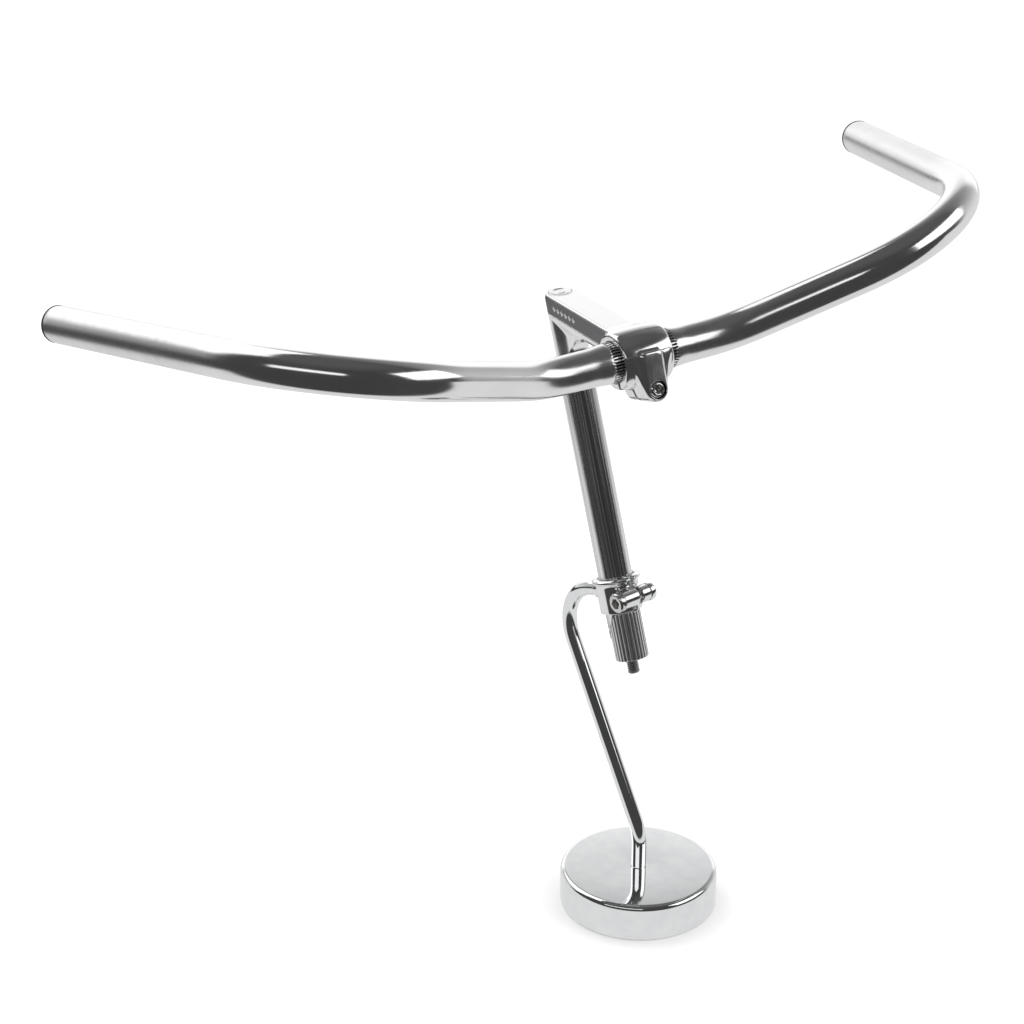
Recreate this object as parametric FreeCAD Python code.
"""City handlebar in a forged quill stem, carried by a round-based display stand.

Units are millimetres.  The origin is the centre of the stand's underside, +Z is up, +X is the way
the stem points and +Y is the rider's left.  Three local frames make the parts easy to draw:
the stand frame, the quill frame (+Z up along the quill) and the stem frame, whose origin is the
centre of the bar clamp, with +Y along the bar and +Z parallel to the quill.
"""
import FreeCAD, Part
import math
import os

V = FreeCAD.Vector
Y_AXIS, Z_AXIS = V(0, 1, 0), V(0, 0, 1)

# ---------------------------------------------------------------- driving dimensions
QUILL_LEAN = 17.4          # the quill leans back as in a 72.6 degree head tube
STEM_TURN = -13.4          # the stem is turned in the stand's collar by this much
QUILL_AT_CLAMP = V(-72.4, 0, 373.4)   # point of the quill's axis level with the bar clamp

# handlebar
BAR_R = 11.9               # 23.8 mm tube
BAR_WALL = 2.2
CENTRE_R = 12.7            # 25.4 mm clamping centre
CENTRE_HALF = 22.0
TAPER_END = 33.0
BAR_STRAIGHT = 66.5        # half length of the straight centre, to the first corner
REACH_RUN, REACH_SWEEP, REACH_RISE = 186.0, -28.0, 12.8
GRIP_RUN, GRIP_SWEEP, GRIP_RISE = 276.0, 74.8, 9.1
REACH_BEND_R, GRIP_BEND_R = 61.0, 82.0

# end plugs
PLUG_FLANGE = 2.4
PLUG_DOME = 1.1
PLUG_DEPTH = 18.0
PLUG_R = BAR_R - BAR_WALL - 0.06

# stem
STEM_REACH = 87.5          # quill axis to bar axis, square to the quill
STEM_DROP = 16.5           # the extension falls by this angle from square
NECK_W, NECK_TOP, NECK_SIDE = 20.4, 13.6, 11.5
GUSSET_R, GUSSET_W = 14.0, 14.0
CLAMP_R, RIM_R, CLAMP_W = 18.8, 16.3, 33.6   # the clamp is fullest in its middle
CLAMP_BORE_R = CENTRE_R + 0.05
BOLT_Z = -20.2             # pinch bolt under the bar
EAR_FRONT, EAR_BACK, EAR_HALF, EAR_R = 17.8, -10.0, 13.5, 7.4
RIB_FRONT, RIB_W, RIB_TOP = 20.3, 12.8, 3.0
SLIT_X, SLIT_W = 3.0, 1.8
QUILL_R, QUILL_BORE_R = 11.1, 8.0
HEAD_R, HEAD_LOW, HEAD_HIGH = 10.3, -25.0, -5.0   # the quill narrows to its head between these
QUILL_TIP = -196.0         # long side of the slanted quill end
SLANT = 36.0               # angle between the slanted end and the quill's axis

# screws
M6_R, M8_R = 3.0, 4.0
RUN_GAP = 0.05             # radial running clearance
FACE_GAP = 0.1             # axial gap between pieces of different bodies
PINCH_SEAT = 13.0
PINCH_HEAD_R, PINCH_HEAD_H = 5.0, 6.0
PINCH_WASHER = 0.9
NUT_R, NUT_T = 5.0, 4.0
EXPANDER_SEAT = 14.0
EXPANDER_END = -214.4
EXPANDER_HEAD_R, EXPANDER_HEAD_H = 6.5, 8.0
EXPANDER_WASHER = 1.2
CAP_R, CAP_T = 7.4, 2.4

# wedge
WEDGE_R, WEDGE_SHIFT, WEDGE_BOTTOM, WEDGE_TOP = 11.0, 1.6, -204.0, -171.8
FLUTES, FLUTE_R, FLUTE_OUT = 26, 0.9, 0.5

# stand collar, in the quill frame
COLLAR_TOP, COLLAR_BOTTOM = -148.8, -171.3
FLANGE_R, FLANGE_T = 16.2, 2.6
SLEEVE_R, COLLAR_BORE_R = 13.9, 12.25
LINER_IN, LINER_OUT = QUILL_R + RUN_GAP, COLLAR_BORE_R - RUN_GAP
BOSS_X, BOSS_Z, BOSS_R = 17.2, -161.3, 5.7
LEFT_BOSS, RIGHT_BOSS, COLLAR_SLIT = 14.0, 8.5, 3.0
COLLAR_HEAD_R, COLLAR_HEAD_T = 6.5, 4.4
COLLAR_NUT_R, COLLAR_NUT_T = 6.0, 4.2
COLLAR_BOLT_TIP = 11.6
SOCKET_R, SOCKET_OUT, SOCKET_IN = 6.6, -19.0, -12.9
ROD_LEVEL = -157.7         # the rod meets the collar at this height

# rod and base, in the stand frame
ROD_R, ROD_BEND_R = 5.0, 30.0
ROD_FOOT, ROD_KNEE = 9.0, 51.4
ROD_SLOPE = 29.6
BASE_R, BASE_H, BASE_EDGE_R = 52.6, 25.8, 3.7
COVER_WALL, PAD_T, PAD_R = 1.2, 2.6, 51.0
SKIRT_BOTTOM = 0.6

# ---------------------------------------------------------------- frames
stem_yaw = math.degrees(math.atan2(math.sin(math.radians(STEM_TURN)),
                                   math.cos(math.radians(STEM_TURN)) * math.cos(math.radians(QUILL_LEAN))))
STAND = FreeCAD.Placement(V(0, 0, 0), FreeCAD.Rotation(Z_AXIS, -stem_yaw))
QUILL = STAND * FreeCAD.Placement(QUILL_AT_CLAMP, FreeCAD.Rotation(Y_AXIS, -QUILL_LEAN))
STEM = (QUILL * FreeCAD.Placement(V(0, 0, 0), FreeCAD.Rotation(Z_AXIS, STEM_TURN))
        * FreeCAD.Placement(V(STEM_REACH, 0, 0), FreeCAD.Rotation()))
QUILL_X = -STEM_REACH      # the quill's axis in the stem frame


def save(name, shape, frame):
    """Move a shape from its own frame to the world and write its STEP file."""
    placed = shape.copy()
    placed.transformShape(frame.toMatrix(), True)
    placed.exportStep("parts/%s.step" % name)
    print("%-20s solids %d valid %s volume %.0f" % (name, len(shape.Solids), shape.isValid(), shape.Volume))


# ---------------------------------------------------------------- helpers
def rod(radius, start, end):
    """Round bar from one point to another."""
    axis = end - start
    return Part.makeCylinder(radius, axis.Length, start, axis)


def x_rod(radius, x0, x1, y=0.0, z=0.0):
    return rod(radius, V(x0, y, z), V(x1, y, z))


def y_rod(radius, y0, y1, x=0.0, z=0.0):
    return rod(radius, V(x, y0, z), V(x, y1, z))


def z_rod(radius, z0, z1, x=0.0, y=0.0):
    return rod(radius, V(x, y, z0), V(x, y, z1))


def block(x0, x1, y0, y1, z0, z1):
    return Part.makeBox(x1 - x0, y1 - y0, z1 - z0, V(x0, y0, z0))


def hex_rod(flats, start, end, turn=0.0):
    """Hexagonal prism, measured across flats, from one point to another."""
    axis = (end - start)
    corner_r = flats / math.sqrt(3)
    side = V(0, 0, 1) if abs(axis.normalize().z) < 0.9 else V(1, 0, 0)
    other = axis.cross(side).normalize()
    angles = [math.radians(turn + 60 * k) for k in range(7)]
    corners = [start + side * corner_r * math.cos(a) + other * corner_r * math.sin(a) for a in angles]
    return Part.Face(Part.makePolygon(corners)).extrude(end - start)


def turned(profile, axis=Z_AXIS):
    """Solid of revolution from a closed outline of (radius, height) points."""
    corners = [V(r, 0, h) if axis == Z_AXIS else V(r, h, 0) for r, h in profile]
    return Part.Face(Part.makePolygon(corners + corners[:1])).revolve(V(0, 0, 0), axis, 360)


def bent_route(points, radii):
    """Straight runs joined by tangent arcs of the given radii at the inner points."""
    edges = []
    start = points[0]
    for before, corner, after, radius in zip(points, points[1:], points[2:], radii):
        back = (before - corner).normalize()
        ahead = (after - corner).normalize()
        half_turn = (math.pi - back.getAngle(ahead)) / 2
        arc_start = corner + back * radius * math.tan(half_turn)
        arc_end = corner + ahead * radius * math.tan(half_turn)
        centre = corner + (back + ahead).normalize() * (radius / math.cos(half_turn))
        arc_middle = centre + (corner - centre).normalize() * radius
        edges.append(Part.LineSegment(start, arc_start).toShape())
        edges.append(Part.Arc(arc_start, arc_middle, arc_end).toShape())
        start = arc_end
    edges.append(Part.LineSegment(start, points[-1]).toShape())
    return Part.Wire(edges)


def pipe(route, radius):
    """Round pipe or rod along a route."""
    start = route.Edges[0]
    circle = Part.makeCircle(radius, start.valueAt(start.FirstParameter), start.tangentAt(start.FirstParameter))
    return route.makePipeShell([Part.Wire(circle)], True, False)


def socket_screw(head_r, head_h, hex_flats, shank_r, seat, tip):
    """Socket screw whose head sits on the seat point and whose shank ends at the tip."""
    back = (seat - tip).normalize()
    top = seat + back * head_h
    head = rod(head_r, seat, top)
    head = head.makeFillet(0.5, [e for e in head.Edges if e.BoundBox.Center.distanceToPoint(top) < 0.01])
    screw = head.fuse(rod(shank_r, tip, seat + back * 0.5))
    return screw.cut(hex_rod(hex_flats, top - back * head_h * 0.6, top + back)).removeSplitter()


def washer(inner, outer, start, end):
    return rod(outer, start, end).cut(rod(inner, start, end))


# ---------------------------------------------------------------- handlebar
def swept(sweep, rise):
    """Unit direction swept back from +Y and raised by the given angles."""
    s, r = math.radians(sweep), math.radians(rise)
    return V(-math.sin(s) * math.cos(r), math.cos(s) * math.cos(r), math.sin(r))


def bar_corners():
    first = V(0, BAR_STRAIGHT, 0)
    second = first + swept(REACH_SWEEP, REACH_RISE) * REACH_RUN
    return [first, second, second + swept(GRIP_SWEEP, GRIP_RISE) * GRIP_RUN]


def mirrored(point):
    return V(point.x, -point.y, point.z)


def handlebar_tube():
    left = bar_corners()
    right = [mirrored(p) for p in reversed(left)]
    route = bent_route(right + left, [GRIP_BEND_R, REACH_BEND_R, REACH_BEND_R, GRIP_BEND_R])
    tube = pipe(route, BAR_R)
    hidden_r = BAR_R - 0.1
    bulge = turned([(5, -TAPER_END), (hidden_r, -TAPER_END), (CENTRE_R, -CENTRE_HALF), (CENTRE_R, CENTRE_HALF),
                    (hidden_r, TAPER_END), (5, TAPER_END)], Y_AXIS)
    print("bar length %.0f" % route.Length)
    return tube.fuse(bulge).cut(pipe(route, BAR_R - BAR_WALL))


def end_plug():
    """Push-in plug along +Z, with its flange's inner face at the origin."""
    flange = z_rod(BAR_R, 0.05, PLUG_FLANGE)
    rim = [e for e in flange.Edges if e.BoundBox.ZMin > PLUG_FLANGE - 0.01]
    flange = flange.makeFillet(PLUG_DOME, rim)
    plug = flange.fuse(z_rod(PLUG_R - 0.8, -PLUG_DEPTH, 0.5))
    for k in range(4):
        top = -1.0 - 4.2 * k
        barb = [(4, top), (PLUG_R, top), (PLUG_R, top - 1.2), (PLUG_R - 0.9, top - 2.6), (4, top - 2.6)]
        plug = plug.fuse(turned(barb))
    return plug.cut(z_rod(PLUG_R - 2.6, -PLUG_DEPTH - 1, -1.5))


def plug_frame(side):
    """Frame at a bar end, +Z out along the bar; side is +1 for the rider's left."""
    corners = bar_corners()
    out = (corners[2] - corners[1]).normalize()
    end = corners[2]
    if side < 0:
        out, end = mirrored(out), mirrored(end)
    return STEM * FreeCAD.Placement(end, FreeCAD.Rotation(Z_AXIS, out))


# ---------------------------------------------------------------- stem, in the stem frame
def neck_top(x):
    """Height of the extension's flat top at a given x."""
    drop = math.radians(STEM_DROP)
    return NECK_TOP / math.cos(drop) - x * math.tan(drop)


def above_neck():
    """Everything above the extension's flat top, behind the clamp."""
    back, front = QUILL_X - 30, -4.0
    outline = [V(back, 0, neck_top(back)), V(front, 0, neck_top(front)), V(front, 0, 80), V(back, 0, 80)]
    return Part.Face(Part.makePolygon(outline + outline[:1])).extrude(V(0, 60, 0)).translate(V(0, -30, 0))


def neck():
    """Extension: flat top, flat sides and a round underside, from the quill to the clamp."""
    half = NECK_W / 2
    low = NECK_TOP - NECK_SIDE
    start = V(QUILL_X, 0, 0)
    along = V(math.cos(math.radians(STEM_DROP)), 0, -math.sin(math.radians(STEM_DROP)))
    length = STEM_REACH / along.x
    side = V(0, 1, 0)
    up = V(-along.z, 0, along.x)
    origin = V(0, 0, 0) - along * length
    outline = ((-half, low), (-half, NECK_TOP), (half, NECK_TOP), (half, low))
    corners = [origin + side * y + up * z for y, z in outline]
    bottom = origin + up * (low - half)
    edges = [Part.LineSegment(a, b).toShape() for a, b in zip(corners, corners[1:])]
    edges.append(Part.Arc(corners[3], bottom, corners[0]).toShape())
    return Part.Face(Part.Wire(edges)).extrude(along * length)


def gusset():
    """Curved web in the corner under the extension, in front of the quill."""
    drop = math.radians(STEM_DROP)
    x = QUILL_X + QUILL_R - 0.4 + GUSSET_R
    under = neck_top(x) - (NECK_SIDE + NECK_W / 2 - 0.4) / math.cos(drop)
    centre = V(x, 0, under - GUSSET_R / math.cos(drop))
    normal = V(math.sin(drop), 0, math.cos(drop))
    foot = centre - V(GUSSET_R, 0, 0)
    head = centre + normal * GUSSET_R
    middle = centre + (normal - V(1, 0, 0)).normalize() * GUSSET_R
    inside = [head + normal * 4, foot + V(-3, 0, GUSSET_R + 12), foot + V(-3, 0, -14)]
    edges = [Part.Arc(foot, middle, head).toShape()]
    edges += [Part.LineSegment(a, b).toShape() for a, b in zip([head] + inside, inside + [foot])]
    web = Part.Face(Part.Wire(edges)).extrude(V(0, GUSSET_W, 0))
    web.translate(V(0, -GUSSET_W / 2, 0))
    return web


def tongue(half, top, reach, foot):
    """Profile facing forward: straight sides that taper to a round foot."""
    lean = math.atan2(half - foot, top - BOLT_Z)
    side = V(0, foot * math.cos(lean), BOLT_Z - foot * math.sin(lean))
    corners = [V(0, -side.y, side.z), V(0, -half, top), V(0, half, top), side]
    edges = [Part.LineSegment(p, q).toShape() for p, q in zip(corners, corners[1:])]
    edges.append(Part.Arc(side, V(0, 0, BOLT_Z - foot), corners[0]).toShape())
    return Part.Face(Part.Wire(edges)).extrude(V(reach, 0, 0))


def ears():
    """Tapered pair of ears under the clamp, with the flat-fronted rib of the bolt."""
    taper = tongue(EAR_HALF, -1.0, EAR_FRONT - EAR_BACK, EAR_R)
    taper.translate(V(EAR_BACK, 0, 0))
    rib = tongue(RIB_W / 2, RIB_TOP, RIB_FRONT - SLIT_X, RIB_W / 2 - 0.05)
    rib.translate(V(SLIT_X, 0, 0))
    heel = [V(EAR_BACK - 1, 0, -24), V(EAR_BACK + 4, 0, -29), V(EAR_BACK - 1, 0, -29)]
    chamfer = Part.Face(Part.makePolygon(heel + heel[:1])).extrude(V(0, 40, 0)).translate(V(0, -20, 0))
    return taper.cut(chamfer).fuse(rib)


def barrel():
    """Domed clamp around the bar; its middle is bored out later."""
    end = CLAMP_W / 2
    inside = 8.0
    arc = Part.Arc(V(RIM_R, -end, 0), V(CLAMP_R, 0, 0), V(RIM_R, end, 0)).toShape()
    corners = [V(RIM_R, end, 0), V(inside, end, 0), V(inside, -end, 0), V(RIM_R, -end, 0)]
    edges = [arc] + [Part.LineSegment(a, b).toShape() for a, b in zip(corners, corners[1:])]
    dome = Part.Face(Part.Wire(edges)).revolve(V(0, 0, 0), Y_AXIS, 360)
    rims = [e for e in dome.Edges if e.BoundBox.YLength < 0.01 and e.BoundBox.XLength > 2 * RIM_R - 1]
    return dome.makeFillet(1.0, rims)


def quill_tube():
    """Quill's outside, narrowing a little to the head."""
    low, high = QUILL_TIP, 60
    outline = [(0, low), (QUILL_R, low), (QUILL_R, HEAD_LOW), (HEAD_R, HEAD_HIGH), (HEAD_R, high), (0, high)]
    shape = turned(outline)
    shape.translate(V(QUILL_X, 0, 0))
    return shape


def stem_body():
    slant_run = 2 * QUILL_R / math.tan(math.radians(SLANT))
    slant = [V(QUILL_X - QUILL_R, 0, QUILL_TIP), V(QUILL_X + QUILL_R, 0, QUILL_TIP + slant_run),
             V(QUILL_X + 20, 0, QUILL_TIP + slant_run), V(QUILL_X + 20, 0, QUILL_TIP - 9),
             V(QUILL_X - QUILL_R, 0, QUILL_TIP - 9)]
    slant_cut = Part.Face(Part.makePolygon(slant + slant[:1])).extrude(V(0, 40, 0)).translate(V(0, -20, 0))
    body = quill_tube().cut(slant_cut).fuse([neck(), gusset()]).cut(above_neck()).fuse([barrel(), ears()])
    cuts = [y_rod(CLAMP_BORE_R, -30, 30),
            block(SLIT_X - SLIT_W / 2, SLIT_X + SLIT_W / 2, -30, 30, -40, -8),
            x_rod(PINCH_HEAD_R + 0.6, PINCH_SEAT, 40, z=BOLT_Z),
            x_rod(M6_R + 0.3, -30, 40, z=BOLT_Z),
            x_rod(NUT_R + 0.15, -30, EAR_BACK + NUT_T + 0.3, z=BOLT_Z),
            z_rod(QUILL_BORE_R, QUILL_TIP - 5, 6, QUILL_X),
            z_rod(M8_R + 0.3, 0, 30, QUILL_X),
            z_rod(CAP_R - 0.3, EXPANDER_SEAT, 60, QUILL_X),
            z_rod(CAP_R + 0.1, cap_seat(), 60, QUILL_X)]
    return body.cut(cuts).removeSplitter()


def cap_seat():
    return neck_top(QUILL_X + CAP_R) - CAP_T


def bolt_cap():
    """Flush push-in cap over the expander bolt, cut to the slope of the top face."""
    cap = z_rod(CAP_R - 0.05, cap_seat() + FACE_GAP, 60, QUILL_X)
    cap = cap.cut(above_neck())
    skirt = z_rod(CAP_R - 0.6, cap_seat() - 4, cap_seat() + 1, QUILL_X)
    return cap.fuse(skirt).cut(z_rod(CAP_R - 1.8, cap_seat() - 5, cap_seat() + 0.8, QUILL_X))


def expander_wedge():
    """Fluted wedge under the slanted end of the quill."""
    x = QUILL_X + WEDGE_SHIFT
    wedge = z_rod(WEDGE_R, WEDGE_BOTTOM, QUILL_TIP + 50, x)
    slant_run = 2 * QUILL_R / math.tan(math.radians(SLANT))
    clear = 0.35 / math.sin(math.radians(SLANT))
    slope = slant_run / (2 * QUILL_R)
    left, right = QUILL_X - 30, QUILL_X + 30
    low = [V(px, 0, QUILL_TIP - clear + slope * (px - QUILL_X + QUILL_R)) for px in (left, right)]
    above = [low[0], low[1], V(right, 0, 90), V(left, 0, 90)]
    top = Part.Face(Part.makePolygon(above + above[:1])).extrude(V(0, 40, 0)).translate(V(0, -20, 0))
    wedge = wedge.cut(top)
    wedge = wedge.cut(z_rod(WEDGE_R + 5, WEDGE_TOP, -100, x))
    wedge = wedge.makeChamfer(0.6, [e for e in wedge.Edges if abs(e.BoundBox.ZMax - WEDGE_BOTTOM) < 0.01])
    wedge = wedge.cut(z_rod(M8_R + RUN_GAP, WEDGE_BOTTOM - 5, 0, QUILL_X))
    flutes = []
    for k in range(FLUTES):
        a = 2 * math.pi * (k + 0.5) / FLUTES
        out = WEDGE_R + FLUTE_OUT
        flutes.append(z_rod(FLUTE_R, WEDGE_BOTTOM - 1, -170, x + out * math.cos(a), out * math.sin(a)))
    return wedge.cut(flutes)


def clamp_nut():
    back = EAR_BACK + FACE_GAP
    nut = x_rod(NUT_R, back, back + NUT_T, z=BOLT_Z)
    return nut.cut([x_rod(M6_R + RUN_GAP, -30, 10, z=BOLT_Z),
                    block(back - 0.01, back + 0.8, -0.6, 0.6, BOLT_Z - 6, BOLT_Z + 6)])


# ---------------------------------------------------------------- stand, collar in the quill frame
def stand_collar():
    sleeve = z_rod(SLEEVE_R, COLLAR_BOTTOM, COLLAR_TOP)
    flange = z_rod(FLANGE_R, COLLAR_TOP - FLANGE_T, COLLAR_TOP)
    flange = flange.makeFillet(1.1, [e for e in flange.Edges if e.BoundBox.ZLength < 0.01])
    neck_cone = turned([(5, COLLAR_TOP - FLANGE_T), (FLANGE_R - 1.0, COLLAR_TOP - FLANGE_T + 0.2),
                        (SLEEVE_R, COLLAR_TOP - FLANGE_T - 2.6), (5, COLLAR_TOP - FLANGE_T - 2.6)])
    left = y_rod(BOSS_R, -LEFT_BOSS, 0, BOSS_X, BOSS_Z)
    right = y_rod(BOSS_R, 0, RIGHT_BOSS, BOSS_X, BOSS_Z)
    web = block(8, BOSS_X, -8, RIGHT_BOSS, BOSS_Z - BOSS_R, BOSS_Z + BOSS_R)
    socket = x_rod(SOCKET_R, SOCKET_OUT, SOCKET_IN, z=ROD_LEVEL)
    body = sleeve.fuse([flange, neck_cone, left, right, web, socket])
    cuts = [z_rod(COLLAR_BORE_R, COLLAR_BOTTOM - 5, COLLAR_TOP + 5),
            block(5, 40, -COLLAR_SLIT / 2, COLLAR_SLIT / 2, COLLAR_BOTTOM - 5, COLLAR_TOP + 5),
            y_rod(M6_R + 0.3, -30, 30, BOSS_X, BOSS_Z),
            x_rod(ROD_R, -60, SOCKET_IN - 1.2, z=ROD_LEVEL)]
    return body.cut(cuts).removeSplitter()


def collar_liner():
    """Split plastic sleeve between the collar and the polished quill."""
    liner = z_rod(LINER_OUT, COLLAR_BOTTOM + 0.4, COLLAR_TOP - 0.3)
    return liner.cut([z_rod(LINER_IN, COLLAR_BOTTOM - 5, COLLAR_TOP + 5),
                      block(0, 40, -0.8, 0.8, COLLAR_BOTTOM - 5, COLLAR_TOP + 5)])


def collar_bolt():
    seat = V(BOSS_X, -LEFT_BOSS - FACE_GAP, BOSS_Z)
    return socket_screw(COLLAR_HEAD_R, COLLAR_HEAD_T, 6.0, M6_R, seat, V(BOSS_X, COLLAR_BOLT_TIP, BOSS_Z))


def collar_nut():
    """Domed sleeve nut on the other side of the split."""
    start = RIGHT_BOSS + FACE_GAP
    nut = y_rod(COLLAR_NUT_R, start, start + COLLAR_NUT_T, BOSS_X, BOSS_Z)
    outer = [e for e in nut.Edges if e.Length > 30 and e.BoundBox.YMin > start + 1]
    nut = nut.makeFillet(0.9, outer)
    return nut.cut(y_rod(M6_R + RUN_GAP, start - 1, COLLAR_BOLT_TIP + 0.3, BOSS_X, BOSS_Z))


def rod_route():
    """Rod's centre line in the stand frame: up, back and over into the collar."""
    into = math.radians(QUILL_LEAN)
    along_collar = V(math.cos(into), 0, math.sin(into))
    along_quill = V(-math.sin(into), 0, math.cos(into))
    end = QUILL_AT_CLAMP + along_quill * ROD_LEVEL + along_collar * (SOCKET_IN - 1.2)
    knee = V(0, 0, ROD_KNEE)
    slope = math.radians(ROD_SLOPE)
    rising = V(-math.sin(slope), 0, math.cos(slope))
    # the corner is where the rising run meets the collar's run
    gap = end - knee
    cross = rising.x * along_collar.z - rising.z * along_collar.x
    reach = (gap.x * along_collar.z - gap.z * along_collar.x) / cross
    return bent_route([V(0, 0, ROD_FOOT), knee, knee + rising * reach, end], [ROD_BEND_R, ROD_BEND_R])


def stand_rod():
    route = rod_route()
    print("rod length %.0f" % route.Length)
    return pipe(route, ROD_R).cut(z_rod(M6_R + RUN_GAP, 0, ROD_FOOT + 16))


def base_shell(offset):
    """Round-edged disc; offset shrinks it all round."""
    disc = z_rod(BASE_R - offset, SKIRT_BOTTOM - (2 if offset else 0), BASE_H - offset)
    top = [e for e in disc.Edges if e.BoundBox.ZLength < 0.01 and e.BoundBox.ZMin > BASE_H - offset - 0.01]
    return disc.makeFillet(BASE_EDGE_R - offset, top)


def base_cover():
    return base_shell(0).cut([base_shell(COVER_WALL), z_rod(ROD_R, 0, BASE_H + 5)])


def base_weight():
    weight = z_rod(BASE_R - COVER_WALL - 0.3, PAD_T + 0.05, BASE_H - COVER_WALL - 0.05)
    top = [e for e in weight.Edges if e.BoundBox.ZLength < 0.01 and e.BoundBox.ZMin > 20]
    weight = weight.makeFillet(3.0, top)
    return weight.cut([z_rod(ROD_R, ROD_FOOT, BASE_H + 5), z_rod(M6_R + 0.3, 0, ROD_FOOT + 1),
                       z_rod(9.0, 0, PAD_T + 4.6)])


def base_pad():
    pad = z_rod(PAD_R, 0, PAD_T)
    return pad.makeFillet(0.8, [e for e in pad.Edges if e.BoundBox.ZMax < 0.01])


def base_screw():
    return socket_screw(5.0, 2.8, 4.0, M6_R, V(0, 0, PAD_T + 3.4), V(0, 0, ROD_FOOT + 14))


# ---------------------------------------------------------------- the parts
os.makedirs("parts", exist_ok=True)

save("handlebar_tube", handlebar_tube(), STEM)
save("end_plug_left", end_plug(), plug_frame(1))
save("end_plug_right", end_plug(), plug_frame(-1))

save("stem_body", stem_body(), STEM)
save("bolt_cap", bolt_cap(), STEM)
expander_top = V(QUILL_X, 0, EXPANDER_SEAT + EXPANDER_WASHER + FACE_GAP)
save("expander_bolt", socket_screw(EXPANDER_HEAD_R, EXPANDER_HEAD_H, 6.0, M8_R, expander_top,
                                   V(QUILL_X, 0, EXPANDER_END)), STEM)
save("expander_washer", washer(M8_R + 0.2, 6.9, V(QUILL_X, 0, EXPANDER_SEAT),
                               V(QUILL_X, 0, EXPANDER_SEAT + EXPANDER_WASHER)), STEM)
save("expander_wedge", expander_wedge(), STEM)
pinch_head = V(PINCH_SEAT + PINCH_WASHER + FACE_GAP, 0, BOLT_Z)
save("clamp_bolt", socket_screw(PINCH_HEAD_R, PINCH_HEAD_H, 5.0, M6_R, pinch_head,
                                V(EAR_BACK + 0.6, 0, BOLT_Z)), STEM)
save("clamp_bolt_washer", washer(M6_R + 0.2, 5.4, V(PINCH_SEAT, 0, BOLT_Z),
                                 V(PINCH_SEAT + PINCH_WASHER, 0, BOLT_Z)), STEM)
save("clamp_nut", clamp_nut(), STEM)

save("stand_collar", stand_collar(), QUILL)
save("collar_liner", collar_liner(), QUILL)
save("collar_bolt", collar_bolt(), QUILL)
save("collar_nut", collar_nut(), QUILL)

save("stand_rod", stand_rod(), STAND)
save("base_cover", base_cover(), STAND)
save("base_weight", base_weight(), STAND)
save("base_pad", base_pad(), STAND)
save("base_screw", base_screw(), STAND)
save("base_screw_washer", washer(M6_R + 0.2, 7.5, V(0, 0, PAD_T + 3.4), V(0, 0, PAD_T + 4.6)), STAND)
